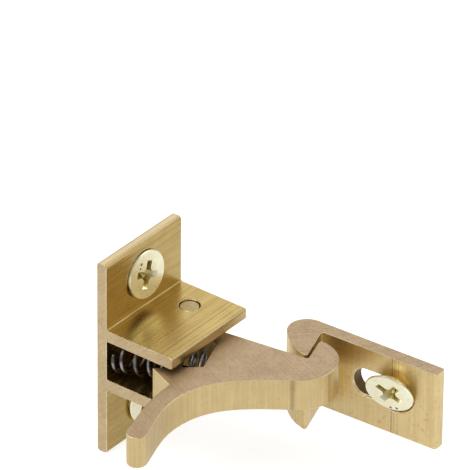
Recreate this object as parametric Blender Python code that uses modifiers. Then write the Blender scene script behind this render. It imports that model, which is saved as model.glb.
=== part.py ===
"""Spring-loaded elbow catch with its hooked strike plate, in solid drawn brass.

The body is one drawn section: a screw plate with two shelves. The elbow lever is sawn from a drawn
profile and swings on a pin between the shelves. A coil spring between the plate and the lever's
notch holds the hooked nose behind the lip of the strike.

Frame: metres. +X points away from the plate, +Y across its width towards the strike, +Z up along it.
The origin is the middle of the plate's back face.
"""

import math

import bmesh
import bpy
from mathutils import Matrix, Vector

MM = 0.001

# Clearances
TOUCH_GAP = 0.3 * MM
PIN_FIT = 0.12 * MM
BORE_FIT = 0.2 * MM
LEVER_SIDE_GAP = 0.7 * MM
SPRING_SIDE_GAP = 0.6 * MM
SCREW_SEAT_GAP = 0.12 * MM

# Catch body, a section drawn along Y
PLATE_HEIGHT = 32.0 * MM
PLATE_WIDTH = 17.2 * MM
PLATE_THICKNESS = 1.75 * MM
ARM_REACH = 11.9 * MM
ARM_THICKNESS = 1.85 * MM
ARM_GAP = 6.5 * MM
PLATE_END_ROUNDING = 0.5 * MM
ARM_END_ROUNDING = 0.35 * MM
ARM_ROOT_FILLET = 0.25 * MM

# Pivot pin, from the plate's front face and from the body's middle
PIN_DIAMETER = 2.9 * MM
PIN_FROM_PLATE = 5.05 * MM
PIN_OFFSET = 4.1 * MM
PIN_RECESS = 0.12 * MM
PIN_END_CHAMFER = 0.1 * MM

# Elbow lever, measured from the pin
BOSS_RADIUS = 4.2 * MM
HEEL_RISE = 3.9 * MM
HEEL_ROUNDING = 0.6 * MM
BACK_SLOPE = math.radians(8.2)
BACK_FILLET = 2.5 * MM
HOOK_REACH = 19.35 * MM
HOOK_RISE = 2.7 * MM
HOOK_ANGLE = math.radians(107.5)
HOOK_TIP_ROUNDING = 0.35 * MM
NOSE_REACH = 18.4 * MM
NOSE_RISE = 1.9 * MM
NOSE_RADIUS = 5.65 * MM
NOSE_START_ANGLE = math.radians(-52.0)
BOW_REACH = 11.1 * MM
BOW_DROP = 17.4 * MM
THUMB_REACH = 12.1 * MM
THUMB_DROP = 27.2 * MM
THUMB_THICKNESS = 3.0 * MM
THUMB_LEAN = math.radians(17.0)

# Spring notch in the lever, measured from the pin
NOTCH_REACH = 9.0 * MM
NOTCH_DROP = 8.3 * MM
NOTCH_END_ANGLE = math.radians(110.3)
NOTCH_SIDE_ANGLE = math.radians(220.9)
NOTCH_SIDE_LENGTH = 7.25 * MM
NOTCH_CORNER_ROUNDING = 0.2 * MM
TONGUE_ROOT_DROP = 14.85 * MM
TONGUE_TIP_ROUNDING = 0.15 * MM

# Coil spring
SPRING_WIRE = 0.6 * MM
SPRING_FROM_NEAR_SIDE = 2.95 * MM
SPRING_SAG = 0.3 * MM
SPRING_END_TURNS = 1.0
SPRING_ACTIVE_TURNS = 5.25
SPRING_END_PITCH = 1.15 * MM
SPRING_START_ANGLE = math.radians(150.0)
POINTS_PER_TURN = 18

# Strike, a section drawn along Z, measured in its own frame from the root of its lip
STRIKE_TURN = math.radians(3.2)
STRIKE_HEIGHT = 12.75 * MM
STRIKE_TOP_OVER_LEVER = 0.05 * MM
STRIKE_LENGTH = 19.75 * MM
STRIKE_THICKNESS = 2.15 * MM
LIP_DEPTH = 6.65 * MM
LIP_FACE_ANGLE = math.radians(105.3)
LIP_WIDTH = 4.95 * MM
LIP_BACK_RADIUS = 2.95 * MM
LIP_TIP_ROUNDING = 0.35 * MM
LIP_SWING_GAP = 0.1 * MM
STRIKE_END_ROUNDING = 0.55 * MM

# Strike slot
SLOT_WIDTH = 4.3 * MM
SLOT_LENGTH = 9.0 * MM
SLOT_FROM_LIP = 5.5 * MM
SLOT_RAISE = 0.57 * MM
SLOT_EDGE_BREAK = 0.2 * MM

# Cross-recess screws with undercut flat heads; the thread isn't modelled, and the plate's holes clear it
SCREW_HEAD_DIAMETER = 7.5 * MM
SCREW_HEAD_RIM = 0.25 * MM
SCREW_CONE_FOOT = 1.1 * MM
SCREW_UNDERCUT = 0.5 * MM
SCREW_HEAD_PROUD = 0.6 * MM
SCREW_THREAD_DIAMETER = 3.8 * MM
SCREW_HOLE_FIT = 0.2 * MM
SCREW_CORE_DIAMETER = 2.5 * MM
SCREW_LENGTH = 7.4 * MM
SCREW_POINT = 2.6 * MM
SCREW_HEAD_ANGLE = math.radians(90.0)
SCREW_EDGE_BREAK = 0.12 * MM
RECESS_SPAN = 4.75 * MM
RECESS_WING = 1.1 * MM
RECESS_DEPTH = 2.0 * MM
RECESS_FLOOR_SPAN = 1.6 * MM
RECESS_FLOOR_WING = 0.6 * MM
RECESS_CENTRE = 2.1 * MM

# How the screws stand in their seats, and how far each is turned
UPPER_SCREW_SWAY = math.radians(2.7)
UPPER_SCREW_LEAN = math.radians(-4.2)
UPPER_SCREW_TURN = math.radians(-20.3)
LOWER_SCREW_TURN = math.radians(-33.0)
STRIKE_SCREW_FROM_LIP = 12.43 * MM
STRIKE_SCREW_RAISE = 0.53 * MM
STRIKE_SCREW_PROUD = 1.2 * MM
STRIKE_SCREW_SWAY = math.radians(9.0)
STRIKE_SCREW_LEAN = math.radians(20.0)
STRIKE_SCREW_TURN = math.radians(-37.5)

# Facets
ROUND_STEPS = 48
CORNER_STEPS = 4
CURVE_STEPS = 14

# Positions that follow from the sizes above
PIN_X = PLATE_THICKNESS + PIN_FROM_PLATE
PIN_Y = PIN_OFFSET
ARM_TOP = ARM_GAP / 2 + ARM_THICKNESS
LEVER_THICKNESS = ARM_GAP - 2 * LEVER_SIDE_GAP
PLATE_SCREW_Z = (ARM_TOP + PLATE_HEIGHT / 2) / 2
SPRING_RADIUS = ARM_GAP / 2 - SPRING_SIDE_GAP
STRIKE_TOP = LEVER_THICKNESS / 2 + STRIKE_TOP_OVER_LEVER
STRIKE_MIDDLE = STRIKE_TOP - STRIKE_HEIGHT / 2

# Colours
BODY_BRASS = (0.52, 0.40, 0.19, 1.0)
LEVER_BRASS = (0.55, 0.43, 0.22, 1.0)
SCREW_BRASS = (0.78, 0.72, 0.45, 1.0)
SPRING_STEEL = (0.10, 0.10, 0.11, 1.0)


def clear_scene():
    for item in list(bpy.data.objects):
        bpy.data.objects.remove(item, do_unlink=True)


def make_collection(name):
    collection = bpy.data.collections.new(name)
    bpy.context.scene.collection.children.link(collection)
    return collection


def make_material(name, colour, roughness):
    material = bpy.data.materials.new(name)
    material.use_nodes = True
    shader = material.node_tree.nodes["Principled BSDF"]
    shader.inputs["Base Color"].default_value = colour
    shader.inputs["Metallic"].default_value = 1.0
    shader.inputs["Roughness"].default_value = roughness
    return material


def direction(angle):
    return Vector((math.cos(angle), math.sin(angle)))


def arc(centre, radius, start, end, steps):
    """Points on a circle from one angle to another."""
    points = []
    for step in range(steps + 1):
        points.append(centre + radius * direction(start + (end - start) * step / steps))
    return points


def bezier(start, start_handle, end_handle, end, steps):
    """Points of one cubic curve, without its two ends."""
    points = []
    for step in range(1, steps):
        t = step / steps
        s = 1 - t
        points.append(s**3 * start + 3 * s * s * t * start_handle + 3 * s * t * t * end_handle + t**3 * end)
    return points


def rounded_corner(before, corner, after, radius, steps):
    """The corner's arc, tangent to both sides; the radius gives way where a side is too short."""
    to_before = before - corner
    to_after = after - corner
    half = to_before.angle(to_after) / 2
    reach = min(radius / math.tan(half), 0.45 * to_before.length, 0.45 * to_after.length)
    radius = reach * math.tan(half)
    first = corner + reach * to_before.normalized()
    last = corner + reach * to_after.normalized()
    towards_middle = (to_before.normalized() + to_after.normalized()).normalized()
    middle = corner + (radius / math.sin(half)) * towards_middle
    start = math.atan2(first.y - middle.y, first.x - middle.x)
    end = math.atan2(last.y - middle.y, last.x - middle.x)
    sweep = (end - start + math.pi) % (2 * math.pi) - math.pi
    return arc(middle, radius, start, start + sweep, steps)


def rounded_outline(corners):
    """Closed outline from (point, radius) pairs; a radius of 0 keeps the point as it is."""
    outline = []
    count = len(corners)
    for index, (point, radius) in enumerate(corners):
        if radius == 0:
            outline.append(point)
            continue
        before = corners[index - 1][0]
        after = corners[(index + 1) % count][0]
        outline.extend(rounded_corner(before, point, after, radius, CORNER_STEPS))
    return outline


def sharp(points):
    return [(point, 0) for point in points]


def mesh_object(name, mesh, collection, material):
    part = bpy.data.objects.new(name, mesh)
    collection.objects.link(part)
    if material is not None:
        mesh.materials.clear()
        mesh.materials.append(material)
    return part


def extruded(name, outline, depth, matrix, collection, material):
    """A flat outline made solid by half its depth each way, turned from a curve into a mesh."""
    curve = bpy.data.curves.new(name + "_outline", "CURVE")
    curve.dimensions = "2D"
    curve.fill_mode = "BOTH"
    curve.extrude = depth / 2
    spline = curve.splines.new("POLY")
    spline.points.add(len(outline) - 1)
    for point, place in zip(spline.points, outline):
        point.co = (place.x, place.y, 0, 1)
    spline.use_cyclic_u = True
    guide = bpy.data.objects.new(name + "_guide", curve)
    collection.objects.link(guide)
    guide.matrix_world = matrix
    bpy.context.view_layer.update()
    evaluated = guide.evaluated_get(bpy.context.evaluated_depsgraph_get())
    mesh = bpy.data.meshes.new_from_object(evaluated)
    weld(mesh)
    part = mesh_object(name, mesh, collection, material)
    part.matrix_world = matrix
    bpy.data.objects.remove(guide, do_unlink=True)
    shade(mesh)
    return part


def weld(mesh):
    form = bmesh.new()
    form.from_mesh(mesh)
    bmesh.ops.remove_doubles(form, verts=form.verts, dist=1e-7)
    bmesh.ops.recalc_face_normals(form, faces=form.faces)
    form.to_mesh(mesh)
    form.free()


def shade(mesh):
    mesh.shade_smooth()
    mesh.set_sharp_from_angle(angle=math.radians(25))


def turned(name, profile, matrix, collection, material):
    """A solid of revolution about its own Z; the profile runs from its top on the axis to its foot."""
    mesh = bpy.data.meshes.new(name)
    form = bmesh.new()
    places = [form.verts.new((radius, 0, height)) for radius, height in profile]
    for first, second in zip(places, places[1:]):
        form.edges.new((first, second))
    form.to_mesh(mesh)
    form.free()
    part = mesh_object(name, mesh, collection, material)
    part.matrix_world = matrix
    screw = part.modifiers.new("Turn", "SCREW")
    screw.angle = 2 * math.pi
    screw.steps = ROUND_STEPS
    screw.render_steps = ROUND_STEPS
    screw.use_merge_vertices = True
    screw.merge_threshold = 1e-6
    screw.use_smooth_shade = True
    return part


def as_cutter(part):
    part.hide_render = True
    part.display_type = "WIRE"
    return part


def cut(part, cutter):
    boolean = part.modifiers.new("Cut " + cutter.name, "BOOLEAN")
    boolean.operation = "DIFFERENCE"
    boolean.solver = "EXACT"
    boolean.object = cutter


def cylinder_cutter(name, radius, length, matrix, collection):
    profile = [(0, length / 2), (radius, length / 2), (radius, -length / 2), (0, -length / 2)]
    return as_cutter(turned(name, profile, matrix, collection, None))


def countersink_cutter(name, head, hole_diameter, above, depth, collection):
    """Screw hole with its conical seat, placed by the middle of the head's face; local Z points out."""
    hole_radius = hole_diameter / 2 + SCREW_HOLE_FIT
    seat_radius = SCREW_HEAD_DIAMETER / 2 + SCREW_SEAT_GAP
    seat_foot = -SCREW_CONE_FOOT - SCREW_SEAT_GAP
    cone_drop = -SCREW_HEAD_RIM - seat_foot
    foot_radius = max(seat_radius - cone_drop * math.tan(SCREW_HEAD_ANGLE / 2), hole_radius + TOUCH_GAP)
    neck = seat_foot - SCREW_UNDERCUT
    profile = [(0, above), (seat_radius, above), (seat_radius, -SCREW_HEAD_RIM)]
    profile += [(foot_radius, seat_foot), (hole_radius, neck)]
    profile.append((hole_radius, min(neck, -depth) - TOUCH_GAP))
    profile.append((0, profile[-1][1]))
    return as_cutter(turned(name, profile, head, collection, None))


def body_outline():
    """The drawn section in X and Z: plate with an upper and a lower shelf."""
    half = PLATE_HEIGHT / 2
    inner = ARM_GAP / 2
    tip = PLATE_THICKNESS + ARM_REACH
    upper = [
        (Vector((0, half)), PLATE_END_ROUNDING),
        (Vector((PLATE_THICKNESS, half)), PLATE_END_ROUNDING),
        (Vector((PLATE_THICKNESS, ARM_TOP)), ARM_ROOT_FILLET),
        (Vector((tip, ARM_TOP)), ARM_END_ROUNDING),
        (Vector((tip, inner)), ARM_END_ROUNDING),
        (Vector((PLATE_THICKNESS, inner)), ARM_ROOT_FILLET),
    ]
    lower = [(Vector((place.x, -place.y)), radius) for place, radius in reversed(upper)]
    return rounded_outline(upper + lower)


def plate_screw_head(height, sway, lean):
    """Middle of a plate screw's face, with local Z out of the plate and local Y across its width."""
    outwards = Matrix.Rotation(math.pi / 2, 4, "Y")
    askew = Matrix.Rotation(sway, 4, "X") @ Matrix.Rotation(lean, 4, "Y")
    return Matrix.Translation((PLATE_THICKNESS + SCREW_HEAD_PROUD, 0, height)) @ outwards @ askew


def upper_screw_head():
    return plate_screw_head(PLATE_SCREW_Z, UPPER_SCREW_SWAY, UPPER_SCREW_LEAN)


def lower_screw_head():
    return plate_screw_head(-PLATE_SCREW_Z, 0, 0)


def build_body(collection, cutters, material):
    upright = Matrix.Rotation(math.pi / 2, 4, "X")
    body = extruded("catch_body", body_outline(), PLATE_WIDTH, upright, collection, material)
    pin_place = Matrix.Translation((PIN_X, PIN_Y, 0))
    hole_radius = PIN_DIAMETER / 2 + PIN_FIT
    cut(body, cylinder_cutter("pin_hole", hole_radius, 2 * ARM_TOP + 2 * MM, pin_place, cutters))
    depth = SCREW_HEAD_PROUD + PLATE_THICKNESS + TOUCH_GAP
    for label, head in (("upper", upper_screw_head()), ("lower", lower_screw_head())):
        cut(
            body,
            countersink_cutter(label + "_screw_hole", head, SCREW_THREAD_DIAMETER, TOUCH_GAP, depth, cutters),
        )
    return body


def notch_corner():
    return Vector((NOTCH_REACH, -NOTCH_DROP))


def notch_length():
    """Length of the notch's end wall: the spring's width and its clearances."""
    return 2 * SPRING_RADIUS + 2 * SPRING_SIDE_GAP


def lever_outline():
    """The lever's profile in X and Y, round it counter-clockwise from the thumb, with the pin at 0."""
    thumb_radius = THUMB_THICKNESS / 2
    thumb = Vector((THUMB_REACH, -THUMB_DROP))
    thumb_side = THUMB_LEAN
    thumb_end = arc(thumb, thumb_radius, math.pi + thumb_side, 2 * math.pi + thumb_side, 2 * CORNER_STEPS)
    along_thumb = direction(math.pi / 2 + thumb_side)

    # Concave front: thumb to the deepest point of the bow, then out to the nose
    bow = Vector((BOW_REACH, -BOW_DROP))
    upwards = Vector((0, 1))
    rise = bow.y - thumb_end[-1].y
    thumb_top = thumb_end[-1]
    front = bezier(thumb_top, thumb_top + 0.36 * rise * along_thumb, bow - 0.36 * rise * upwards, bow, 6)
    nose = Vector((NOSE_REACH, NOSE_RISE))
    nose_start = nose + NOSE_RADIUS * direction(NOSE_START_ANGLE)
    nose_tangent = direction(NOSE_START_ANGLE + math.pi / 2)
    span = (nose_start - bow).length
    nose_handle = nose_start - 0.36 * span * nose_tangent
    belly = bezier(bow, bow + 0.44 * span * upwards, nose_handle, nose_start, CURVE_STEPS)

    # Nose, from its foot round to the hook's tip
    hook_root = Vector((HOOK_REACH, HOOK_RISE))
    hook_way = direction(HOOK_ANGLE)
    offset = hook_root - nose
    along = offset.dot(hook_way)
    hook_length = -along + math.sqrt(along * along - offset.length_squared + NOSE_RADIUS**2)
    hook_tip = hook_root + hook_length * hook_way
    tip_angle = math.atan2(hook_tip.y - nose.y, hook_tip.x - nose.x)
    tip_margin = 3 * HOOK_TIP_ROUNDING / NOSE_RADIUS
    nose_arc = arc(nose, NOSE_RADIUS, NOSE_START_ANGLE, tip_angle - tip_margin, CURVE_STEPS)

    # Straight back edge, then the boss and the heel that rests on the plate
    back_way = direction(BACK_SLOPE + math.pi)
    to_boss = hook_root.dot(back_way)
    off_line = hook_root - to_boss * back_way
    boss_meet = off_line - back_way * math.sqrt(BOSS_RADIUS**2 - off_line.length_squared)
    boss_angle = math.atan2(boss_meet.y, boss_meet.x)
    boss_top = arc(Vector((0, 0)), BOSS_RADIUS, boss_angle + math.radians(30), math.pi / 2, CORNER_STEPS)
    heel_x = TOUCH_GAP - PIN_FROM_PLATE
    heel_foot = Vector((heel_x, 0))

    # Round under the boss to the notch that takes the spring
    end_way = direction(NOTCH_END_ANGLE)
    far_corner = notch_corner() + notch_length() * end_way
    far_angle = math.atan2(far_corner.y, far_corner.x) - math.acos(BOSS_RADIUS / far_corner.length)
    heel_radius = heel_foot.length
    under_boss = arc(Vector((0, 0)), heel_radius, math.pi, math.radians(215), 3)
    under_boss += arc(Vector((0, 0)), BOSS_RADIUS, math.radians(235), far_angle + 2 * math.pi, 5)
    tongue_tip = notch_corner() + NOTCH_SIDE_LENGTH * direction(NOTCH_SIDE_ANGLE)
    root = Vector((BOW_REACH - THUMB_THICKNESS, -TONGUE_ROOT_DROP))

    # Back of the thumb
    fall = root.y - thumb_end[0].y
    foot = thumb_end[0]
    thumb_back = bezier(root, root - 0.4 * fall * upwards, foot + 0.3 * fall * along_thumb, foot, 7)

    corners = sharp(thumb_end + front + [bow] + belly + nose_arc)
    corners.append((hook_tip, HOOK_TIP_ROUNDING))
    corners.append((hook_root, TOUCH_GAP))
    corners.append((boss_meet, BACK_FILLET))
    corners += sharp(boss_top)
    corners.append((Vector((heel_x, max(HEEL_RISE, 0))), HEEL_ROUNDING))
    corners += sharp(under_boss)
    corners.append((far_corner, NOTCH_CORNER_ROUNDING))
    corners.append((notch_corner(), NOTCH_CORNER_ROUNDING))
    corners.append((tongue_tip, TONGUE_TIP_ROUNDING))
    corners.append((root, 0))
    corners += sharp(thumb_back)
    return rounded_outline(corners)


def build_lever(collection, cutters, pivot, material):
    place = Matrix.Translation((PIN_X, PIN_Y, 0))
    lever = extruded("lever", lever_outline(), LEVER_THICKNESS, place, collection, material)
    bore_radius = PIN_DIAMETER / 2 + BORE_FIT
    cut(lever, cylinder_cutter("lever_bore", bore_radius, LEVER_THICKNESS + 2 * MM, place, cutters))
    lever.parent = pivot
    lever.matrix_parent_inverse = pivot.matrix_world.inverted()
    return lever


def build_pin(collection, material):
    half = ARM_TOP - PIN_RECESS
    radius = PIN_DIAMETER / 2
    edge = radius - PIN_END_CHAMFER
    profile = [(0, half), (edge, half), (radius, half - PIN_END_CHAMFER)]
    profile += [(radius, PIN_END_CHAMFER - half), (edge, -half), (0, -half)]
    return turned("pivot_pin", profile, Matrix.Translation((PIN_X, PIN_Y, 0)), collection, material)


def spring_points():
    """The wire's middle line: turns whose planes lean from the plate's face to the notch's end wall."""
    wire = SPRING_WIRE / 2
    coil_radius = SPRING_RADIUS - wire
    lean = NOTCH_END_ANGLE - math.pi / 2
    out_of_wall = Vector((-math.cos(lean), -math.sin(lean)))
    seat = notch_corner() + (SPRING_RADIUS + SPRING_SIDE_GAP) * direction(NOTCH_END_ANGLE)
    seat += (wire + TOUCH_GAP) * out_of_wall
    start = Vector((PLATE_THICKNESS + wire + TOUCH_GAP, SPRING_FROM_NEAR_SIDE - PLATE_WIDTH / 2))
    end = Vector((PIN_X, PIN_Y)) + seat
    length = (end - start).length
    turns = 2 * SPRING_END_TURNS + SPRING_ACTIVE_TURNS
    active_pitch = (length - 2 * SPRING_END_TURNS * SPRING_END_PITCH) / SPRING_ACTIVE_TURNS
    steps = round(turns * POINTS_PER_TURN)
    points = []
    for step in range(steps + 1):
        turn = turns * step / steps
        first = min(turn, SPRING_END_TURNS)
        middle = min(max(turn - SPRING_END_TURNS, 0), SPRING_ACTIVE_TURNS)
        last = max(turn - SPRING_END_TURNS - SPRING_ACTIVE_TURNS, 0)
        way = ((first + last) * SPRING_END_PITCH + middle * active_pitch) / length
        centre = start.lerp(end, way)
        angle = SPRING_START_ANGLE + 2 * math.pi * turn
        across = coil_radius * math.cos(angle)
        tilt = lean * way
        height = coil_radius * math.sin(angle) - SPRING_SAG * (1 - way)
        place = centre + across * Vector((-math.sin(tilt), math.cos(tilt)))
        points.append(Vector((place.x, place.y, height)))
    return points


def build_spring(collection, material):
    curve = bpy.data.curves.new("spring_wire", "CURVE")
    curve.dimensions = "3D"
    curve.bevel_depth = SPRING_WIRE / 2
    curve.bevel_resolution = 2
    curve.use_fill_caps = True
    spline = curve.splines.new("POLY")
    places = spring_points()
    spline.points.add(len(places) - 1)
    for point, place in zip(spline.points, places):
        point.co = (place.x, place.y, place.z, 1)
    curve.materials.append(material)
    spring = bpy.data.objects.new("spring", curve)
    collection.objects.link(spring)
    return spring


def strike_outline():
    """The strike's section, with its lip's root on the front face at 0 and the plate running along +X."""
    face_way = direction(LIP_FACE_ANGLE - math.pi)
    lip_tip = face_way * (LIP_DEPTH / -face_way.y)
    round_middle = Vector((LIP_BACK_RADIUS - LIP_WIDTH, STRIKE_THICKNESS - LIP_BACK_RADIUS))
    back_round = arc(round_middle, LIP_BACK_RADIUS, math.pi / 2, math.radians(218), 10)
    ramp_way = direction(math.radians(218) + math.pi / 2)
    ramp_span = (lip_tip - back_round[-1]).length
    ramp = bezier(
        back_round[-1],
        back_round[-1] + 0.33 * ramp_span * ramp_way,
        lip_tip + 0.33 * ramp_span * direction(math.radians(170)),
        lip_tip,
        6,
    )
    corners = sharp(back_round + ramp[:-1])
    corners.append((lip_tip, LIP_TIP_ROUNDING))
    corners.append((Vector((0, 0)), ARM_ROOT_FILLET))
    corners.append((Vector((STRIKE_LENGTH, 0)), STRIKE_END_ROUNDING))
    corners.append((Vector((STRIKE_LENGTH, STRIKE_THICKNESS)), STRIKE_END_ROUNDING))
    return rounded_outline(corners)


def strike_matrix():
    """Puts the lip's tip inside the hook, a swing gap from the hook's face and off the lever's back edge."""
    hook_root = Vector((PIN_X + HOOK_REACH, PIN_Y + HOOK_RISE))
    hook_normal = direction(HOOK_ANGLE + math.pi / 2)
    back_normal = direction(BACK_SLOPE + math.pi / 2)
    tip = hook_root + (LIP_SWING_GAP + TOUCH_GAP) * hook_normal + TOUCH_GAP * back_normal
    face_way = direction(LIP_FACE_ANGLE - math.pi)
    tip_from_root = face_way * (LIP_DEPTH / -face_way.y)
    turned_tip = Matrix.Rotation(STRIKE_TURN, 2) @ tip_from_root
    root = tip - turned_tip
    return Matrix.Translation((root.x, root.y, STRIKE_MIDDLE)) @ Matrix.Rotation(STRIKE_TURN, 4, "Z")


def slot_right_centre():
    return SLOT_FROM_LIP + SLOT_LENGTH - SLOT_WIDTH / 2


def slot_outline(extra):
    """Straight slot with half-round ends, wider all round by the given amount."""
    radius = SLOT_WIDTH / 2 + extra
    left = Vector((SLOT_FROM_LIP + SLOT_WIDTH / 2, 0))
    right = Vector((slot_right_centre(), 0))
    half = ROUND_STEPS // 2
    right_end = arc(right, radius, -math.pi / 2, math.pi / 2, half)
    left_end = arc(left, radius, math.pi / 2, 1.5 * math.pi, half)
    return right_end + left_end


def slot_cutter(name, extra, front, back, collection):
    """The slot as a solid that runs from one depth to another behind the strike's face."""
    flat = Matrix.Translation((0, (front + back) / 2, SLOT_RAISE)) @ Matrix.Rotation(math.pi / 2, 4, "X")
    return as_cutter(
        extruded(name, slot_outline(extra), abs(back - front), strike_matrix() @ flat, collection, None)
    )


def strike_screw_head():
    """Middle of the screw's face; local Z points out of the strike's front, swayed to its end and down."""
    height = SLOT_RAISE + STRIKE_SCREW_RAISE
    place = Matrix.Translation((STRIKE_SCREW_FROM_LIP, -STRIKE_SCREW_PROUD, height))
    sway = Matrix.Rotation(STRIKE_SCREW_SWAY, 4, "Z")
    lean = Matrix.Rotation(math.pi / 2 + STRIKE_SCREW_LEAN, 4, "X")
    return strike_matrix() @ place @ sway @ lean


def build_strike(collection, cutters, material):
    strike = extruded("strike", strike_outline(), STRIKE_HEIGHT, strike_matrix(), collection, material)
    cut(strike, slot_cutter("slot_through", 0, -TOUCH_GAP, STRIKE_THICKNESS + TOUCH_GAP, cutters))
    edge = slot_cutter("slot_edge", SLOT_EDGE_BREAK, -TOUCH_GAP, SLOT_EDGE_BREAK, cutters)
    cut(strike, edge)
    swing = SCREW_HEAD_DIAMETER * math.sin(STRIKE_SCREW_LEAN + STRIKE_SCREW_SWAY)
    depth = STRIKE_SCREW_PROUD + STRIKE_THICKNESS + swing
    head = strike_screw_head()
    cut(strike, countersink_cutter("strike_screw_hole", head, SCREW_CORE_DIAMETER, swing, depth, cutters))
    return strike


def screw_profile():
    """Flat head, cone, undercut, core and point, from the middle of the head's face at 0 down to the tip."""
    head = SCREW_HEAD_DIAMETER / 2
    core = SCREW_CORE_DIAMETER / 2
    cone_drop = SCREW_CONE_FOOT - SCREW_HEAD_RIM
    foot = max(head - cone_drop * math.tan(SCREW_HEAD_ANGLE / 2), core + TOUCH_GAP)
    neck = SCREW_CONE_FOOT + SCREW_UNDERCUT
    profile = [(0, 0), (head - SCREW_EDGE_BREAK, 0), (head, -SCREW_EDGE_BREAK), (head, -SCREW_HEAD_RIM)]
    profile += [(foot, -SCREW_CONE_FOOT), (core, -neck)]
    profile.append((core, -max(SCREW_LENGTH - SCREW_POINT, neck + TOUCH_GAP)))
    profile += [(0.12 * core, -SCREW_LENGTH), (0, -SCREW_LENGTH)]
    return profile


def wing_cutter(name, matrix, collection):
    """One wing of the cross recess: a bar that narrows downwards."""
    mesh = bpy.data.meshes.new(name)
    form = bmesh.new()
    bmesh.ops.create_cube(form, size=1.0)
    for vert in form.verts:
        lower = vert.co.z < 0
        span = RECESS_FLOOR_SPAN if lower else RECESS_SPAN
        wing = RECESS_FLOOR_WING if lower else RECESS_WING
        height = -RECESS_DEPTH if lower else TOUCH_GAP
        vert.co = (math.copysign(span / 2, vert.co.x), math.copysign(wing / 2, vert.co.y), height)
    form.to_mesh(mesh)
    form.free()
    cutter = mesh_object(name, mesh, collection, None)
    cutter.matrix_world = matrix
    return as_cutter(cutter)


def build_screw(name, head, turn, collection, cutters, material):
    face = head @ Matrix.Rotation(turn, 4, "Z")
    screw = turned(name, screw_profile(), face, collection, material)
    for label, angle in (("a", 0), ("b", math.pi / 2)):
        cut(screw, wing_cutter(name + "_wing_" + label, face @ Matrix.Rotation(angle, 4, "Z"), cutters))
    middle = RECESS_CENTRE / 2
    profile = [(0, TOUCH_GAP), (middle, TOUCH_GAP)]
    profile += [(middle * 0.9, -0.5 * RECESS_DEPTH), (0, -1.15 * RECESS_DEPTH)]
    cut(screw, as_cutter(turned(name + "_centre", profile, face, cutters, None)))
    return screw


def build_catch():
    clear_scene()
    parts = make_collection("elbow_catch")
    cutters = make_collection("cutters")
    body_brass = make_material("drawn_brass", BODY_BRASS, 0.35)
    lever_brass = make_material("sawn_brass", LEVER_BRASS, 0.45)
    screw_brass = make_material("polished_brass", SCREW_BRASS, 0.2)
    steel = make_material("spring_steel", SPRING_STEEL, 0.4)

    pivot = bpy.data.objects.new("lever_pivot", None)
    pivot.location = (PIN_X, PIN_Y, 0)
    parts.objects.link(pivot)
    bpy.context.view_layer.update()

    build_body(parts, cutters, body_brass)
    build_lever(parts, cutters, pivot, lever_brass)
    build_pin(parts, body_brass)
    build_spring(parts, steel)
    build_strike(parts, cutters, lever_brass)
    build_screw("body_screw_upper", upper_screw_head(), UPPER_SCREW_TURN, parts, cutters, screw_brass)
    build_screw("body_screw_lower", lower_screw_head(), LOWER_SCREW_TURN, parts, cutters, screw_brass)
    build_screw("strike_screw", strike_screw_head(), STRIKE_SCREW_TURN, parts, cutters, screw_brass)


build_catch()
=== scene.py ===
"""Studio scene of the brass elbow catch: finishes, screw threads, coil spring, light and camera."""

import math

import bmesh
import bpy
from mathutils import Matrix, Vector


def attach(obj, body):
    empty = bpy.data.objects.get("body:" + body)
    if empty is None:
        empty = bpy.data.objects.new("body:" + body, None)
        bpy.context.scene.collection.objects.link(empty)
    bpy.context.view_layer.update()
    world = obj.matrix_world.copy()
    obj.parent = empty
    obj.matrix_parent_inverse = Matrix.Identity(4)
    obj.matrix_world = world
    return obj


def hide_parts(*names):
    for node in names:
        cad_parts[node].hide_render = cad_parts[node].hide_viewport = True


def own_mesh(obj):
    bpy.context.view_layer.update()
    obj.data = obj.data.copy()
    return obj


MM = 0.001

# Camera, fitted to the photograph
IMAGE_WIDTH = 470
FOCAL_PIXELS = 6500.0
SENSOR_WIDTH = 36.0
CAMERA_PLACE = Vector((0.48899332, -0.61214120, 0.50985959))
CAMERA_AZIMUTH = math.radians(37.57244162)
CAMERA_ELEVATION = math.radians(32.20306153)
CAMERA_ROLL = math.radians(0.57574598)

# Places in the frame that the materials and pieces need, as in the part's source
PLATE_THICKNESS = 1.75 * MM
PIN = Vector((6.8, 4.1, 0)) * MM
STRIKE_ROOT = Vector((23.538, 13.515, 0)) * MM
STRIKE_TURN = math.radians(3.2)
STRIKE_MIDDLE = -3.775 * MM
SLOT_RAISE = 0.57 * MM

# Edges
BODY_EDGE = 0.12 * MM
LEVER_EDGE = 0.12 * MM
STRIKE_EDGE = 0.09 * MM
WELD_REACH = 0.002 * MM
FLAT_ANGLE = math.radians(1.0)
EDGE_ANGLE = math.radians(38)
SCREW_EDGE = 0.05 * MM
PIN_EDGE = 0.06 * MM

# Screws: face centres and leans as in the part's source
SCREW_PROUD = 0.6 * MM
PLATE_SCREW_Z = 10.55 * MM
STRIKE_SCREW_PLACE = Vector((12.43, -1.2, 0.53)) * MM
STRIKE_SCREW_SWAY = math.radians(9.0)
STRIKE_SCREW_LEAN = math.radians(20.0)
UPPER_SCREW_SWAY = math.radians(2.7)
UPPER_SCREW_LEAN = math.radians(-4.2)
THREAD_RADIUS = 1.9 * MM
THREAD_ROOT = 1.2 * MM
THREAD_PITCH = 1.25 * MM
THREAD_CREST = 0.06 * MM
THREAD_FLANK = 0.30 * MM
THREAD_POINTS = 40
THREAD_TIP = 0.25 * MM
THREAD_TAPER = 0.86
THREAD_SINK = 0.9
PLATE_THREAD_START = 2.75 * MM
STRIKE_THREAD_START = 4.9 * MM
SCREW_LENGTH = 7.4 * MM
SCREW_POINT = 2.6 * MM

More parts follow.
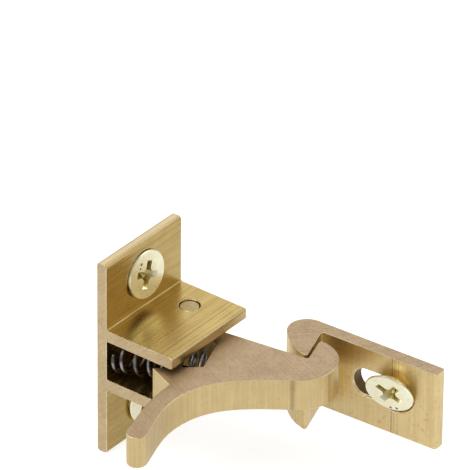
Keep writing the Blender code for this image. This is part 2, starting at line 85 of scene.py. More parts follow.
# Coil spring, as in the part's source but with rounder turns
SPRING_WIRE_RADIUS = 0.3 * MM
SPRING_RADIUS = 2.35 * MM
SPRING_START = Vector((2.35, -5.65, 0)) * MM
SPRING_LEAN = math.radians(20.3)
SPRING_SAG = 0.3 * MM
SPRING_END_TURNS = 1.0
SPRING_ACTIVE_TURNS = 5.25
SPRING_END_PITCH = 1.15 * MM
SPRING_START_ANGLE = math.radians(150.0)
SPRING_POINTS = 44
SPRING_SIDES = 12
NOTCH_CORNER = Vector((9.0, -8.3, 0)) * MM
NOTCH_END_ANGLE = math.radians(110.3)
SPRING_SIDE_GAP = 0.6 * MM
SPRING_TOUCH_GAP = 0.3 * MM
PRESSED_TURN = math.radians(-18.0)

# Colours, linear
SAWN_TAN = (0.590, 0.440, 0.275, 1)
SAWN_PINK = (0.480, 0.350, 0.215, 1)
BODY_SAWN_TAN = (0.610, 0.485, 0.285, 1)
BODY_SAWN_PINK = (0.520, 0.400, 0.230, 1)
PIN_SAWN_TAN = (0.600, 0.480, 0.270, 1)
PIN_SAWN_PINK = (0.520, 0.400, 0.190, 1)
DRAWN_LIGHT = (0.660, 0.510, 0.265, 1)
DRAWN_DEEP = (0.570, 0.430, 0.200, 1)
PLATE_LIGHT = (0.530, 0.395, 0.155, 1)
PLATE_DEEP = (0.420, 0.290, 0.095, 1)
# Painted highlight on broken edges
EDGE_PAINTED_HIGHLIGHT = (0.930, 0.780, 0.500, 1)
SCREW_CREAM = (0.970, 0.950, 0.760, 1)
SCREW_GOLD = (0.930, 0.890, 0.620, 1)
# Painted shade for the screw heads' recesses: a deeper gold
RECESS_PAINTED_SHADE = (0.740, 0.620, 0.290, 1)
STEEL_LIGHT = (0.340, 0.332, 0.325, 1)
STEEL_DARK = (0.085, 0.083, 0.080, 1)
STAIN_GOLD = (0.430, 0.275, 0.080, 1)
# Dark brown for specks, saw marks, streak lines and nicks, and also painted shade on the slot's wall and the
# lever's side
TARNISH_AND_PAINTED_SHADE = (0.110, 0.065, 0.025, 1)
# Painted light: the strike's brass is made lighter than the lever's, standing in for brighter light on it
STRIKE_PAINTED_LIGHT_PALE = (0.760, 0.595, 0.310, 1)
STRIKE_PAINTED_LIGHT_DEEP = (0.660, 0.505, 0.240, 1)
FLOOR_WHITE = (0.560, 0.560, 0.560, 1)

# Studio
FLOOR_LEVEL = -16.05 * MM
FLOOR_HALF = 3.0
FLOOR_LIFT = 0.74
FLOOR_LIFT_IN_METAL = 0.53
WORLD_LEVEL = 0.45
FLOOR_PLACE = (0.02, 0, FLOOR_LEVEL)
LIGHT_TARGET = (0.02, 0.0, 0.0)
CLIP_START = 0.05
CLIP_END = 10.0

# Lamps: place, width, height and power
LAMPS = {
    "key_softbox": ((-0.25, -0.45, 0.75), 0.9, 0.7, 5.6),
    "side_softbox": ((0.55, 0.60, 0.55), 0.8, 0.7, 1.5),
    "back_softbox": ((-0.35, 0.75, 0.55), 0.8, 0.5, 1.2),
}

# Places of marks and of painted shade: read from the photo, except most of the body's streak lines, which are
# listed
STRIKE_STREAKS = (
    (35.64 * MM, 14.19 * MM, 0.16 * MM, 0.55),
    (36.02 * MM, 14.21 * MM, 0.14 * MM, 0.24),
    (36.68 * MM, 14.25 * MM, 0.18 * MM, 0.24),
)
# Painted shade: dark lines where the lever's side shows breaks in its shading
LEVER_SHADE_LINES = (
    (27.87 * MM, 0.93 * MM, 0.48 * MM, 0.42),
    (30.83 * MM, 5.61 * MM, 0.35 * MM, 0.35),
)
# Painted shade on the slot's wall: its middle and how far it reaches
SLOT_WALL_SHADE = ((31.12 * MM, 15.01 * MM, -3.205 * MM), 2.75 * MM)
BODY_STREAKS = (
    (11.45 * MM, 5.10 * MM, 0.13 * MM, 0.50),
    (10.70 * MM, 5.10 * MM, 0.11 * MM, 0.32),
    (12.60 * MM, 5.10 * MM, 0.11 * MM, 0.45),
    (8.90 * MM, 5.10 * MM, 0.11 * MM, 0.28),
    (1.75 * MM, 12.60 * MM, 0.11 * MM, 0.30),
    (1.75 * MM, 13.70 * MM, 0.11 * MM, 0.38),
    (1.75 * MM, 14.90 * MM, 0.12 * MM, 0.45),
)
BODY_REACH = 13.65 * MM
BODY_HALF_HEIGHT = 16.0 * MM
UPPER_NICKS = (
    ((2.14 * MM, -1.10 * MM, 12.66 * MM), 0.34 * MM),
    ((2.18 * MM, -1.36 * MM, 12.05 * MM), 0.28 * MM),
)
STRIKE_NICKS = (
    ((35.59 * MM, 14.04 * MM, -5.70 * MM), 0.34 * MM),
    ((36.54 * MM, 14.20 * MM, -5.55 * MM), 0.36 * MM),
)

# Finish of drawn and sawn brass: sizes of its noises, in cells per metre, and how rough it is
FINE_STRETCH = 0.012
BROAD_STRETCH = 0.03
LINE_CELLS = 9000.0
BAND_CELLS = 1200.0
CLOUD_CELLS = 260.0
BLOT_CELLS = 1500.0
ARC_CELLS = 4500.0
MOTTLE_CELLS = 2600.0
PATCH_CELLS = 330.0
SAWN_ROUGHNESS = (0.52, 0.42)
EDGE_ROUGHNESS = 0.24
OUTER_FADE = 0.3 * MM
BRASS_BUMP = 0.012 * MM

# Finish of the screws and the spring
HAZE_CELLS = 700.0
PIT_CELLS = 5200.0
# Painted shade in the recesses: the depth under the face over which it fades in, and its reach from the
# head's centre
RECESS_SHADE_FADE = (0.10 * MM, 0.80 * MM)
RECESS_SHADE_REACH = (2.50 * MM, 2.75 * MM)
NICK_SHARE = 0.85
SCREW_ROUGHNESS = (0.34, 0.24)
SCREW_BUMP = 0.02 * MM
RUBBED_CELLS = 900.0
GRAIN_CELLS = 6000.0
STEEL_ROUGHNESS = (0.42, 0.26)
STEEL_BUMP = 0.01 * MM


class Nodes:
    """Short ways to add and join the nodes of one material."""

    def __init__(self, name):
        self.material = bpy.data.materials.new(name)
        self.material.use_nodes = True
        self.tree = self.material.node_tree
        self.shader = self.tree.nodes["Principled BSDF"]
        coordinates = self.tree.nodes.new("ShaderNodeTexCoord")
        self.place = coordinates.outputs["Object"]
        self.normal = coordinates.outputs["Normal"]

    def link(self, source, target):
        if isinstance(source, bpy.types.NodeSocket):
            self.tree.links.new(source, target)
        else:
            target.default_value = source

    def math(self, operation, *values):
        node = self.tree.nodes.new("ShaderNodeMath")
        node.operation = operation
        for value, target in zip(values, node.inputs):
            self.link(value, target)
        return node.outputs[0]

    def split(self, vector):
        node = self.tree.nodes.new("ShaderNodeSeparateXYZ")
        self.link(vector, node.inputs[0])
        return node.outputs

    def join(self, x, y, z):
        node = self.tree.nodes.new("ShaderNodeCombineXYZ")
        for value, target in zip((x, y, z), node.inputs):
            self.link(value, target)
        return node.outputs[0]

    def stretched(self, scale, turn=0.0):
        """The place in the frame, turned about Z and scaled along each axis."""
        node = self.tree.nodes.new("ShaderNodeMapping")
        node.inputs["Rotation"].default_value = (0, 0, turn)
        node.inputs["Scale"].default_value = scale
        self.link(self.place, node.inputs["Vector"])
        return node.outputs[0]

    def noise(self, vector, scale, detail=3.0, roughness=0.55):
        node = self.tree.nodes.new("ShaderNodeTexNoise")
        node.inputs["Scale"].default_value = scale
        node.inputs["Detail"].default_value = detail
        node.inputs["Roughness"].default_value = roughness
        self.link(vector, node.inputs["Vector"])
        return node.outputs["Fac"]

    def ramp(self, value, low, high, to_low=0.0, to_high=1.0):
        node = self.tree.nodes.new("ShaderNodeMapRange")
        node.interpolation_type = "SMOOTHSTEP"
        for source, name in ((value, "Value"), (low, "From Min"), (high, "From Max")):
            self.link(source, node.inputs[name])
        node.inputs["To Min"].default_value = to_low
        node.inputs["To Max"].default_value = to_high
        return node.outputs[0]

    def mix(self, share, first, second):
        node = self.tree.nodes.new("ShaderNodeMix")
        node.data_type = "RGBA"
        self.link(share, node.inputs[0])
        self.link(first, node.inputs[6])
        self.link(second, node.inputs[7])
        return node.outputs[2]

    def mix_value(self, share, first, second):
        node = self.tree.nodes.new("ShaderNodeMix")
        node.data_type = "FLOAT"
        self.link(share, node.inputs[0])
        self.link(first, node.inputs[2])
        self.link(second, node.inputs[3])
        return node.outputs[0]

    def distance(self, place, from_vector=None):
        node = self.tree.nodes.new("ShaderNodeVectorMath")
        node.operation = "DISTANCE"
        self.link(from_vector or self.place, node.inputs[0])
        node.inputs[1].default_value = place
        return node.outputs["Value"]

    def line_distance(self, axis, first, second):
        """How far the place is from a line along one axis, given by its other two coordinates."""
        others = [first, second]
        others.insert(axis, 0.0)
        parts = list(self.split(self.place))
        parts[axis] = 0.0
        return self.distance(others, self.join(*parts))

    def depth_below(self, face):
        """How far the place is under the XY plane of a matrix."""
        node = self.tree.nodes.new("ShaderNodeVectorMath")
        node.operation = "DOT_PRODUCT"
        out = face.to_3x3() @ Vector((0, 0, 1))
        self.link(self.place, node.inputs[0])
        node.inputs[1].default_value = out
        return self.math("SUBTRACT", out.dot(face.translation), node.outputs["Value"])

    def bump(self, height, distance, strength=1.0):
        node = self.tree.nodes.new("ShaderNodeBump")
        node.inputs["Strength"].default_value = strength
        node.inputs["Distance"].default_value = distance
        self.link(height, node.inputs["Height"])
        return node.outputs[0]


class Metal:
    """Colours and marks of one piece of brass."""

    def __init__(self, drawn, sawn, saw_centre):
        self.drawn = drawn
        self.sawn = sawn
        self.saw_centre = saw_centre
        self.saw_depth = 0.16
        self.stain = 0.25
        self.outer = None
        self.line_turn = 0.0
        self.roughness = (0.44, 0.34)
        self.streaks = ()
        self.slot_shade = None


def brass(name, draw_axis, metal):
    """Brass drawn along one axis and sawn across it: satin lines on its sides, matt saw marks on its ends."""
    nodes = Nodes(name)
    axis = "XYZ".index(draw_axis)
    facing = nodes.math("ABSOLUTE", nodes.split(nodes.normal)[axis])
    sawn = nodes.ramp(facing, 0.60, 0.80)

    # Draw lines: noise that is long along the draw axis
    fine_scale = [1.0, 1.0, 1.0]
    fine_scale[axis] = FINE_STRETCH
    broad_scale = [1.0, 1.0, 1.0]
    broad_scale[axis] = BROAD_STRETCH
    lines = nodes.noise(nodes.stretched(fine_scale, metal.line_turn), LINE_CELLS, 2.0)
    bands = nodes.noise(nodes.stretched(broad_scale, metal.line_turn), BAND_CELLS, 3.0)
    clouds = nodes.noise(nodes.place, CLOUD_CELLS, 2.0)
    drawn_share = nodes.math("ADD", nodes.math("MULTIPLY", lines, 0.75), nodes.math("MULTIPLY", bands, 0.35))
    drawn_share = nodes.math("ADD", drawn_share, nodes.math("MULTIPLY", clouds, 0.35))
    drawn_share = nodes.ramp(drawn_share, 0.50, 0.95)
    light, deep = metal.drawn
    drawn = nodes.mix(drawn_share, deep, light)

    # Stains: small deeper gold blots
    blots = nodes.noise(nodes.place, BLOT_CELLS, 4.0, 0.65)
    drawn = nodes.mix(nodes.ramp(blots, 0.54, 0.70, 0.0, metal.stain), drawn, STAIN_GOLD)

    # Saw marks: faint arcs from the saw's centre, over a fine mottle
    rings = nodes.join(nodes.distance(metal.saw_centre), 0.0, 0.0)
    arcs = nodes.noise(rings, ARC_CELLS, 2.0)
    mottle = nodes.noise(nodes.place, MOTTLE_CELLS, 4.0, 0.7)
    patches = nodes.noise(nodes.place, PATCH_CELLS, 2.0)
    sawn_share = nodes.math("ADD", nodes.math("MULTIPLY", mottle, 0.6), nodes.math("MULTIPLY", patches, 0.4))
    sawn_share = nodes.ramp(sawn_share, 0.36, 0.66)
    cut_face = nodes.mix(sawn_share, metal.sawn[1], metal.sawn[0])
    specks = nodes.ramp(mottle, 0.60, 0.72, 0.0, 0.30)
    cut_face = nodes.mix(specks, cut_face, TARNISH_AND_PAINTED_SHADE)
    arc_shade = nodes.ramp(arcs, 0.50, 0.64, 0.0, metal.saw_depth)
    cut_face = nodes.mix(arc_shade, cut_face, TARNISH_AND_PAINTED_SHADE)

    # Dark lines along the draw axis, each at its own place: real streak lines, and painted shade where the
    # lever's side shows shade breaks
    marks = 0.0
    for first, second, reach, depth in metal.streaks:
        spread = nodes.line_distance(axis, first, second)
        spread = nodes.math("ADD", spread, nodes.math("MULTIPLY", clouds, 0.04 * MM))
        streak = nodes.ramp(spread, 0.35 * reach, reach, depth, 0.0)
        broken = nodes.ramp(mottle, 0.25, 0.60, 0.55, 1.0)
        marks = nodes.math("MAXIMUM", marks, nodes.math("MULTIPLY", streak, broken))
    if metal.streaks:
        drawn = nodes.mix(marks, drawn, TARNISH_AND_PAINTED_SHADE)

    # Painted light: the drawn section's own outer faces are painted as pale as its cut ends
    if metal.outer:
        out_x, out_z = metal.outer
        parts = nodes.split(nodes.place)
        ends = nodes.ramp(nodes.math("ABSOLUTE", parts[2]), out_z - OUTER_FADE, out_z, 0.0, 0.85)
        tips = nodes.ramp(parts[0], out_x - OUTER_FADE, out_x, 0.0, 0.70)
        drawn = nodes.mix(nodes.math("MAXIMUM", ends, tips), drawn, metal.sawn[0])

    # The slot's wall: painted shade, a brown picked to look as dark as in the photo
    wall_shade = 0.0
    if metal.slot_shade:
        middle, reach = metal.slot_shade
        inside = nodes.ramp(nodes.distance(middle), reach * 0.97, reach, 1.0, 0.0)
        upright = nodes.ramp(nodes.math("ABSOLUTE", nodes.split(nodes.normal)[1]), 0.30, 0.50, 1.0, 0.0)
        behind = nodes.ramp(nodes.depth_below(strike_face()), 0.20 * MM, 0.28 * MM)
        wall_shade = nodes.math("MULTIPLY", nodes.math("MULTIPLY", inside, upright), behind)
        drawn = nodes.mix(wall_shade, drawn, TARNISH_AND_PAINTED_SHADE)
        cut_face = nodes.mix(wall_shade, cut_face, TARNISH_AND_PAINTED_SHADE)

    # Painted highlight: a bright colour wherever the surface turns between the sides and the cut ends,
    # standing in for light caught on broken edges
    edge = nodes.math("MULTIPLY", nodes.ramp(facing, 0.10, 0.28), nodes.ramp(facing, 0.90, 0.98, 1.0, 0.0))
    edge = nodes.math("MULTIPLY", edge, nodes.ramp(patches, 0.35, 0.60, 0.35, 0.90))
    edge = nodes.math("MULTIPLY", edge, nodes.math("SUBTRACT", 1.0, wall_shade))
    surface = nodes.mix(sawn, drawn, cut_face)
    nodes.link(nodes.mix(edge, surface, EDGE_PAINTED_HIGHLIGHT), nodes.shader.inputs["Base Color"])
    drawn_rough = nodes.ramp(drawn_share, 0.0, 1.0, *metal.roughness)
    sawn_rough = nodes.ramp(mottle, 0.3, 0.7, *SAWN_ROUGHNESS)
    surface_rough = nodes.mix_value(sawn, drawn_rough, sawn_rough)
    nodes.link(nodes.mix_value(edge, surface_rough, EDGE_ROUGHNESS), nodes.shader.inputs["Roughness"])
    nodes.shader.inputs["Metallic"].default_value = 1.0

    drawn_height = nodes.math("ADD", lines, nodes.math("MULTIPLY", bands, 1.5))
    sawn_height = nodes.math("ADD", nodes.math("MULTIPLY", arcs, 0.8), nodes.math("MULTIPLY", mottle, 0.9))
    height = nodes.mix_value(sawn, drawn_height, sawn_height)
    nodes.link(nodes.bump(height, BRASS_BUMP), nodes.shader.inputs["Normal"])
    return nodes.material


def screw_brass(name, head, nicks=()):
    """Bright pale plating with haze and tiny pits, painted shade in the recess, and nicks at their places."""
    nodes = Nodes(name)
    haze = nodes.noise(nodes.place, HAZE_CELLS, 3.0)
    pits = nodes.noise(nodes.place, PIT_CELLS, 2.0)
    share = nodes.ramp(haze, 0.35, 0.65)
    colour = nodes.mix(share, SCREW_GOLD, SCREW_CREAM)
    # Painted shade: the recess is darkened to a deeper gold by its depth under the head's face
    recess_shade_depth = nodes.ramp(nodes.depth_below(head), *RECESS_SHADE_FADE)
    recess_shade_near = nodes.ramp(nodes.distance(head.translation), *RECESS_SHADE_REACH, 1.0, 0.0)
    colour = nodes.mix(nodes.math("MULTIPLY", recess_shade_depth, recess_shade_near), colour, RECESS_PAINTED_SHADE)
    marks = 0.0
    for nick, reach in nicks:
        edge = nodes.math("ADD", nodes.distance(nick), nodes.math("MULTIPLY", pits, 0.10 * MM))
        marks = nodes.math("MAXIMUM", marks, nodes.ramp(edge, reach * 0.5, reach, 1.0, 0.0))
    if nicks:
        colour = nodes.mix(nodes.math("MULTIPLY", marks, NICK_SHARE), colour, TARNISH_AND_PAINTED_SHADE)
    nodes.link(colour, nodes.shader.inputs["Base Color"])
    nodes.link(nodes.ramp(haze, 0.3, 0.7, *SCREW_ROUGHNESS), nodes.shader.inputs["Roughness"])
    nodes.shader.inputs["Metallic"].default_value = 1.0
    height = nodes.math("SUBTRACT", nodes.math("MULTIPLY", pits, 0.25), nodes.math("MULTIPLY", marks, 3.0))
    nodes.link(nodes.bump(height, SCREW_BUMP), nodes.shader.inputs["Normal"])
    return nodes.material


def spring_steel():
    """Dark spring wire with a fine grain and lighter rubbed places."""
    nodes = Nodes("spring_wire_steel")
    rubbed = nodes.noise(nodes.place, RUBBED_CELLS, 3.0)
    grain = nodes.noise(nodes.place, GRAIN_CELLS, 3.0)
    share = nodes.ramp(nodes.math("ADD", rubbed, nodes.math("MULTIPLY", grain, 0.3)), 0.5, 0.8)
    nodes.link(nodes.mix(share, STEEL_DARK, STEEL_LIGHT), nodes.shader.inputs["Base Color"])
    nodes.link(nodes.ramp(grain, 0.3, 0.7, *STEEL_ROUGHNESS), nodes.shader.inputs["Roughness"])
    nodes.shader.inputs["Metallic"].default_value = 1.0
    nodes.link(nodes.bump(grain, STEEL_BUMP), nodes.shader.inputs["Normal"])
    return nodes.material


def finish_node(name, material, edge, clamp=False):
    """Gives a CAD node its finish and softly broken edges; its flat triangles are merged before the bevel."""
    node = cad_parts[name]
    node.data.materials.clear()
    node.data.materials.append(material)
    weld = node.modifiers.new("Weld", "WELD")
    weld.merge_threshold = WELD_REACH
    flat = node.modifiers.new("Flat", "DECIMATE")
    flat.decimate_type = "DISSOLVE"
    flat.angle_limit = FLAT_ANGLE
    bevel = node.modifiers.new("Edges", "BEVEL")
    bevel.width = edge
    bevel.segments = 2
    bevel.limit_method = "ANGLE"
    bevel.angle_limit = EDGE_ANGLE
    bevel.use_clamp_overlap = clamp
    bevel.harden_normals = True
    normals = node.modifiers.new("Normals", "WEIGHTED_NORMAL")
    normals.weight = 100
    normals.keep_sharp = True


def add_mesh(name, form, material, body):
    mesh = bpy.data.meshes.new(name)
    bmesh.ops.recalc_face_normals(form, faces=form.faces)
    form.to_mesh(mesh)
    form.free()
    mesh.shade_smooth()
    mesh.materials.append(material)
    piece = bpy.data.objects.new(name, mesh)
    bpy.context.scene.collection.objects.link(piece)
    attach(piece, body)
    return piece


def swept(form, rings):
    """Closed tube through rings of points, with its two ends filled."""
    loops = [[form.verts.new(point) for point in ring] for ring in rings]
    for first, second in zip(loops, loops[1:]):
        count = len(first)
        for index in range(count):
            after = (index + 1) % count
            form.faces.new((first[index], first[after], second[after], second[index]))
    form.faces.new(list(reversed(loops[0])))
    form.faces.new(loops[-1])


def screw_thread(name, head, start, material):
    """The thread's ridge round a screw's core, from a depth under its face down to the point."""
    form = bmesh.new()
    turns = (SCREW_LENGTH - THREAD_TIP - start) / THREAD_PITCH
    steps = round(turns * THREAD_POINTS)
    rings = []
    for step in range(steps + 1):
        share = step / steps
        angle = 2 * math.pi * turns * share
        depth = start + share * turns * THREAD_PITCH
        to_point = max(0.0, depth - (SCREW_LENGTH - SCREW_POINT)) / SCREW_POINT
        taper = 1.0 - THREAD_TAPER * to_point
        run_in = min(1.0, 0.15 + 3.0 * share * turns / 2.0)
        root = THREAD_ROOT * taper * THREAD_SINK
        crest = root + (THREAD_RADIUS * taper - root) * run_in
        around = Vector((math.cos(angle), math.sin(angle), 0))
        down = Vector((0, 0, -depth))
        flank = THREAD_FLANK * (0.4 + 0.6 * taper)
        ring = [
            around * root + down + Vector((0, 0, flank)),
            around * crest + down + Vector((0, 0, THREAD_CREST)),
            around * crest + down - Vector((0, 0, THREAD_CREST)),
            around * root + down - Vector((0, 0, flank)),
        ]
        rings.append([head @ point for point in ring])
    swept(form, rings)
    return add_mesh(name, form, material, "catch")


def plate_screw_head(height, sway, lean):
    outwards = Matrix.Rotation(math.pi / 2, 4, "Y")
    askew = Matrix.Rotation(sway, 4, "X") @ Matrix.Rotation(lean, 4, "Y")
    return Matrix.Translation((PLATE_THICKNESS + SCREW_PROUD, 0, height)) @ outwards @ askew


def strike_matrix():
    root = Matrix.Translation((STRIKE_ROOT.x, STRIKE_ROOT.y, STRIKE_MIDDLE))
    return root @ Matrix.Rotation(STRIKE_TURN, 4, "Z")


def strike_face():
    """The strike's front face, with local Z out of it."""
    return strike_matrix() @ Matrix.Rotation(math.pi / 2, 4, "X")


def strike_screw_head():
    place = Matrix.Translation(STRIKE_SCREW_PLACE + Vector((0, 0, SLOT_RAISE)))
    sway = Matrix.Rotation(STRIKE_SCREW_SWAY, 4, "Z")
    lean = Matrix.Rotation(math.pi / 2 + STRIKE_SCREW_LEAN, 4, "X")
    return strike_matrix() @ place @ sway @ lean


def spring_end():
    seat = PIN + NOTCH_CORNER
    reach = SPRING_RADIUS + SPRING_WIRE_RADIUS + SPRING_SIDE_GAP
    seat += reach * Vector((math.cos(NOTCH_END_ANGLE), math.sin(NOTCH_END_ANGLE), 0))
    gap = SPRING_WIRE_RADIUS + SPRING_TOUCH_GAP
    return seat - gap * Vector((math.cos(SPRING_LEAN), math.sin(SPRING_LEAN), 0))


def spring_path():
    """The wire's middle line; the coils lean from the plate's face to the notch's end wall."""
    end = spring_end()
    length = (end - SPRING_START).length
    turns = 2 * SPRING_END_TURNS + SPRING_ACTIVE_TURNS
    active_pitch = (length - 2 * SPRING_END_TURNS * SPRING_END_PITCH) / SPRING_ACTIVE_TURNS
    steps = round(turns * SPRING_POINTS)
    points = []
    for step in range(steps + 1):
        turn = turns * step / steps
        first = min(turn, SPRING_END_TURNS)
        middle = min(max(turn - SPRING_END_TURNS, 0), SPRING_ACTIVE_TURNS)
        last = max(turn - SPRING_END_TURNS - SPRING_ACTIVE_TURNS, 0)
        way = ((first + last) * SPRING_END_PITCH + middle * active_pitch) / length
        centre = SPRING_START.lerp(end, way)
        angle = SPRING_START_ANGLE + 2 * math.pi * turn
        tilt = SPRING_LEAN * way
        across = SPRING_RADIUS * math.cos(angle) * Vector((-math.sin(tilt), math.cos(tilt), 0))
        height = SPRING_RADIUS * math.sin(angle) - SPRING_SAG * (1 - way)
        points.append(centre + across + Vector((0, 0, height)))
    return points


def coil_spring(material):
    """Round wire coil along the spring's path; it works out how far a pressed lever would squeeze it, but
    does not use that.
    """
    path = spring_path()
    axis = (spring_end() - SPRING_START).normalized()
    rings = []
    for index, point in enumerate(path):
        before = path[max(index - 1, 0)]
        after = path[min(index + 1, len(path) - 1)]
        along = (after - before).normalized()
        side = along.cross(axis).normalized()
        over = side.cross(along)
        ring = []
        for corner in range(SPRING_SIDES):
            turn = 2 * math.pi * corner / SPRING_SIDES
            ring.append(point + SPRING_WIRE_RADIUS * (math.cos(turn) * side + math.sin(turn) * over))
        rings.append(ring)
    form = bmesh.new()
    swept(form, rings)
    spring = add_mesh("coil_spring", form, material, "catch")
    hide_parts("spring")
    start_to_end = spring_end() - PIN
    pressed = Matrix.Rotation(PRESSED_TURN, 3, "Z") @ start_to_end
    shift = pressed - start_to_end
    squeeze = -shift.normalized()
    reach = (spring_end() - SPRING_START).dot(squeeze)
    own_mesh(spring)


def area_light(name, place, width, height, power):
    lamp = bpy.data.lights.new(name, "AREA")
    lamp.shape = "RECTANGLE"
    lamp.size = width
    lamp.size_y = height
    lamp.energy = power
    light = bpy.data.objects.new(name, lamp)
    bpy.context.scene.collection.objects.link(light)
    light.location = place
    light.rotation_mode = "QUATERNION"
    light.rotation_quaternion = (Vector(LIGHT_TARGET) - Vector(place)).to_track_quat("-Z", "Y")


def floor_material():
    """White sweep: it keeps the shadow, and shows white to the camera and in the metal."""
    material = bpy.data.materials.new("studio_floor")
    material.use_nodes = True
    tree = material.node_tree
    tree.nodes.clear()
    output = tree.nodes.new("ShaderNodeOutputMaterial")
    diffuse = tree.nodes.new("ShaderNodeBsdfDiffuse")
    diffuse.inputs["Color"].default_value = FLOOR_WHITE
    glow = tree.nodes.new("ShaderNodeEmission")
    glow.inputs["Color"].default_value = (1, 1, 1, 1)
    path = tree.nodes.new("ShaderNodeLightPath")
    seen = tree.nodes.new("ShaderNodeMath")
    seen.operation = "MAXIMUM"
    tree.links.new(path.outputs["Is Camera Ray"], seen.inputs[0])
    tree.links.new(path.outputs["Is Glossy Ray"], seen.inputs[1])
    strength = tree.nodes.new("ShaderNodeMath")
    strength.operation = "MULTIPLY_ADD"
    strength.inputs[1].default_value = FLOOR_LIFT - FLOOR_LIFT_IN_METAL
    tree.links.new(path.outputs["Is Camera Ray"], strength.inputs[0])
    in_metal = tree.nodes.new("ShaderNodeMath")
    in_metal.operation = "MULTIPLY"
    in_metal.inputs[1].default_value = FLOOR_LIFT_IN_METAL
    tree.links.new(seen.outputs[0], in_metal.inputs[0])
    tree.links.new(in_metal.outputs[0], strength.inputs[2])
    tree.links.new(strength.outputs[0], glow.inputs["Strength"])
    both = tree.nodes.new("ShaderNodeAddShader")
    tree.links.new(diffuse.outputs[0], both.inputs[0])
    tree.links.new(glow.outputs[0], both.inputs[1])
    tree.links.new(both.outputs[0], output.inputs["Surface"])
    return material


def build_floor():
    form = bmesh.new()
    bmesh.ops.create_grid(form, x_segments=1, y_segments=1, size=FLOOR_HALF)
    mesh = bpy.data.meshes.new("studio_floor")
    form.to_mesh(mesh)
    form.free()
    mesh.materials.append(floor_material())
    floor = bpy.data.objects.new("studio_floor", mesh)
    floor.location = FLOOR_PLACE
    bpy.context.scene.collection.objects.link(floor)


def build_world():
    world = bpy.data.worlds.new("studio_world")
    bpy.context.scene.world = world
    world.use_nodes = True
    tree = world.node_tree
    background = tree.nodes["Background"]
    background.inputs["Color"].default_value = (1, 1, 1, 1)
    path = tree.nodes.new("ShaderNodeLightPath")
    level = tree.nodes.new("ShaderNodeMapRange")
    level.inputs["To Min"].default_value = WORLD_LEVEL
    level.inputs["To Max"].default_value = 1.0
    tree.links.new(path.outputs["Is Camera Ray"], level.inputs["Value"])
    tree.links.new(level.outputs[0], background.inputs["Strength"])


def build_camera():
    camera = bpy.data.objects.new("camera", bpy.data.cameras.new("camera"))
    bpy.context.scene.collection.objects.link(camera)
    camera.data.sensor_width = SENSOR_WIDTH
    camera.data.lens = SENSOR_WIDTH * FOCAL_PIXELS / IMAGE_WIDTH
    camera.data.clip_start = CLIP_START
    camera.data.clip_end = CLIP_END
    flat = math.cos(CAMERA_ELEVATION)
    forward = Vector(
        (
            -math.sin(CAMERA_AZIMUTH) * flat,
            math.cos(CAMERA_AZIMUTH) * flat,
            -math.sin(CAMERA_ELEVATION),
        )
    )
    level = Vector((math.cos(CAMERA_AZIMUTH), math.sin(CAMERA_AZIMUTH), 0))
    over = level.cross(forward)
    right = level * math.cos(CAMERA_ROLL) + over * math.sin(CAMERA_ROLL)
    up = over * math.cos(CAMERA_ROLL) - level * math.sin(CAMERA_ROLL)
    turn = Matrix((right, up, -forward)).transposed()
    camera.matrix_world = Matrix.Translation(CAMERA_PLACE) @ turn.to_4x4()
    bpy.context.scene.camera = camera


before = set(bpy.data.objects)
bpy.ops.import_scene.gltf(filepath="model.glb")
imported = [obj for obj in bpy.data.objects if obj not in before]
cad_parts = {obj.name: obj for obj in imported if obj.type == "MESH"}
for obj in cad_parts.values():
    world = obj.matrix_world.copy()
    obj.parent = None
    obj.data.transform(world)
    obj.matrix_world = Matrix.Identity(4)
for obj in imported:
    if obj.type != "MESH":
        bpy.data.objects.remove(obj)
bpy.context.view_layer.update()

bpy.context.scene.view_settings.view_transform = "Standard"

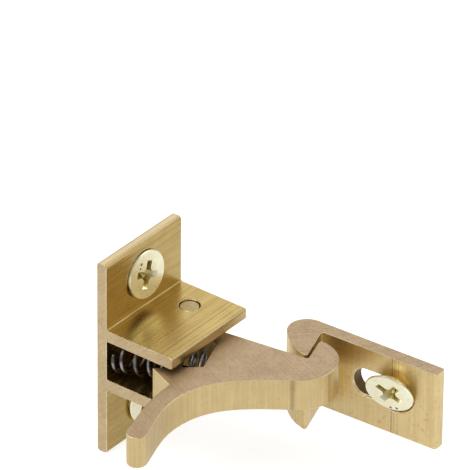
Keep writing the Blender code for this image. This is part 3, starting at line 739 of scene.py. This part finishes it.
body_metal = Metal((PLATE_LIGHT, PLATE_DEEP), (BODY_SAWN_TAN, BODY_SAWN_PINK), (0.09, -0.05, -0.09))
body_metal.outer = (BODY_REACH, BODY_HALF_HEIGHT)
body_metal.streaks = BODY_STREAKS
body_metal.roughness = (0.30, 0.24)
pin_metal = Metal((PLATE_LIGHT, PLATE_DEEP), (PIN_SAWN_TAN, PIN_SAWN_PINK), (0.0068, 0.03, 0.0))
lever_metal = Metal((DRAWN_LIGHT, DRAWN_DEEP), (SAWN_TAN, SAWN_PINK), (0.06, 0.09, 0.0))
lever_metal.streaks = LEVER_SHADE_LINES
strike_metal = Metal((STRIKE_PAINTED_LIGHT_PALE, STRIKE_PAINTED_LIGHT_DEEP), (SAWN_TAN, SAWN_PINK), (0.0064, 0.0307, 0.0))
strike_metal.saw_depth = 0.36
strike_metal.stain = 0.45
strike_metal.line_turn = -STRIKE_TURN
strike_metal.streaks = STRIKE_STREAKS
strike_metal.slot_shade = SLOT_WALL_SHADE
body_brass = brass("drawn_body_brass", "Y", body_metal)
pin_brass = brass("pin_brass", "Z", pin_metal)
lever_brass = brass("sawn_lever_brass", "Z", lever_metal)
strike_brass = brass("sawn_strike_brass", "Z", strike_metal)
upper_head = plate_screw_head(PLATE_SCREW_Z, UPPER_SCREW_SWAY, UPPER_SCREW_LEAN)
lower_head = plate_screw_head(-PLATE_SCREW_Z, 0, 0)
upper_screw_brass = screw_brass("upper_screw_brass", upper_head, UPPER_NICKS)
lower_screw_brass = screw_brass("lower_screw_brass", lower_head)
strike_screw_brass = screw_brass("strike_screw_brass", strike_screw_head(), STRIKE_NICKS)
spring_metal = spring_steel()

finish_node("catch_body", body_brass, BODY_EDGE)
finish_node("pivot_pin", pin_brass, PIN_EDGE)
finish_node("lever", lever_brass, LEVER_EDGE)
finish_node("strike", strike_brass, STRIKE_EDGE)
finish_node("body_screw_upper", upper_screw_brass, SCREW_EDGE, True)
finish_node("body_screw_lower", lower_screw_brass, SCREW_EDGE, True)
finish_node("strike_screw", strike_screw_brass, SCREW_EDGE, True)

screw_thread("upper_screw_thread", upper_head, PLATE_THREAD_START, upper_screw_brass)
screw_thread("lower_screw_thread", lower_head, PLATE_THREAD_START, lower_screw_brass)
screw_thread("strike_screw_thread", strike_screw_head(), STRIKE_THREAD_START, strike_screw_brass)
coil_spring(spring_metal)

build_floor()
build_world()
build_camera()
for lamp_name, lamp_values in LAMPS.items():
    area_light(lamp_name, *lamp_values)
